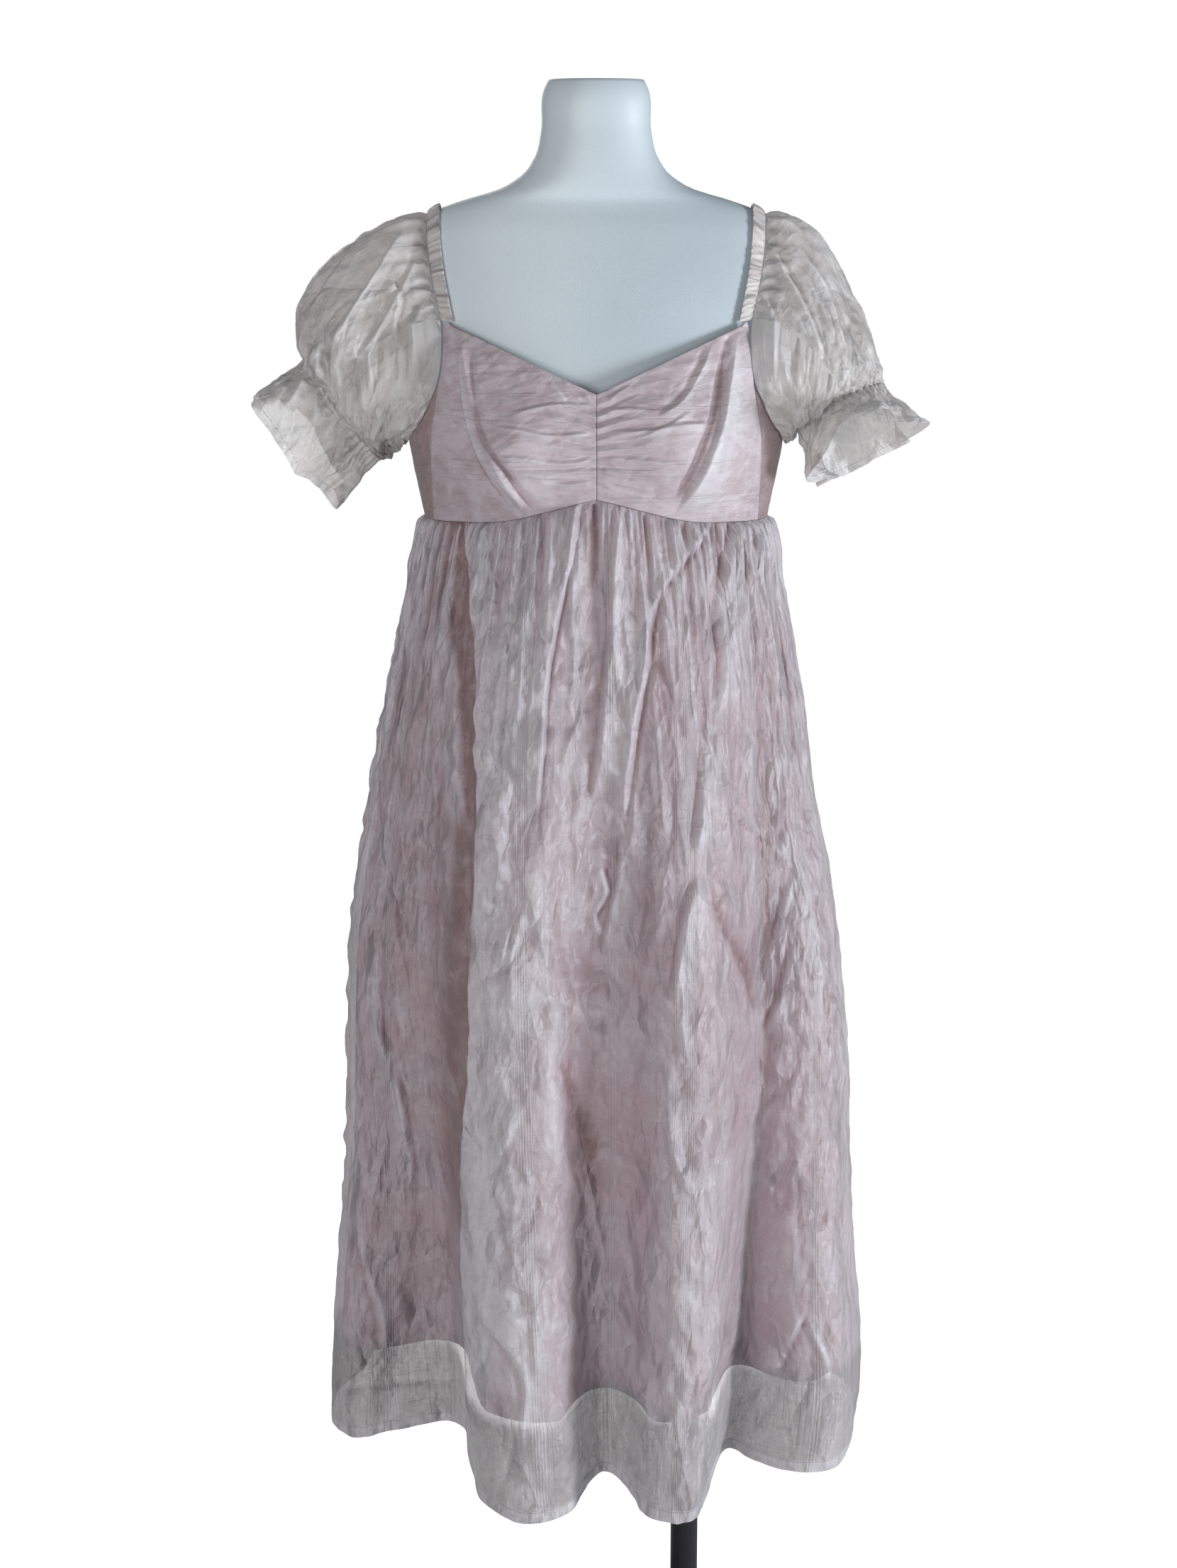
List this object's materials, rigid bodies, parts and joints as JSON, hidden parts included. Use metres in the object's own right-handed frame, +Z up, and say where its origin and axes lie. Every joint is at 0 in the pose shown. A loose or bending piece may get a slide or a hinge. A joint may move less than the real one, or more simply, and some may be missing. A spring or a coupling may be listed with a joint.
{
  "type": "regency gown on dress form",
  "caption": "Long empire-waist gown with a ruched sweetheart bodice, gathered puff sleeves and a sheer lined skirt, worn by a limbless dress form on a round-based stand.",
  "frame": {"origin": "centre of the base plate's underside, on the floor under the form's centreline", "axes": "+Z up, the gown's front faces -Y, the wearer's left is +X"},
  "size_m": [0.6454, 0.5322, 1.708],
  "materials": {
    "bodice_cloth": "opaque dusty pink slub weave with a faint sheen",
    "sleeve_cloth": "sheer crumpled organza, pale greige",
    "skirt_cloth": "sheer crumpled organza with slub stripes",
    "lining_cloth": "plain dusty mauve woven lining",
    "form_shell": "smooth pale cool white",
    "stand_metal": "black powder coat"
  },
  "bodies": {
    "root": {"form_torso": "form_shell", "stand_base": "stand_metal", "stand_hub": "stand_metal", "stand_pole": "stand_metal", "stand_socket": "stand_metal", "bodice_front_right": "bodice_cloth", "bodice_front_left": "bodice_cloth", "bodice_side_right": "bodice_cloth", "bodice_side_left": "bodice_cloth", "bodice_back_right": "bodice_cloth", "bodice_back_left": "bodice_cloth", "sleeve_band_right": "sleeve_cloth", "sleeve_band_left": "sleeve_cloth", "sleeve_right": "sleeve_cloth", "sleeve_left": "sleeve_cloth", "lining_front": "lining_cloth", "lining_back": "lining_cloth", "skirt_front": "skirt_cloth", "skirt_back": "skirt_cloth"}
  },
  "joints": []
}
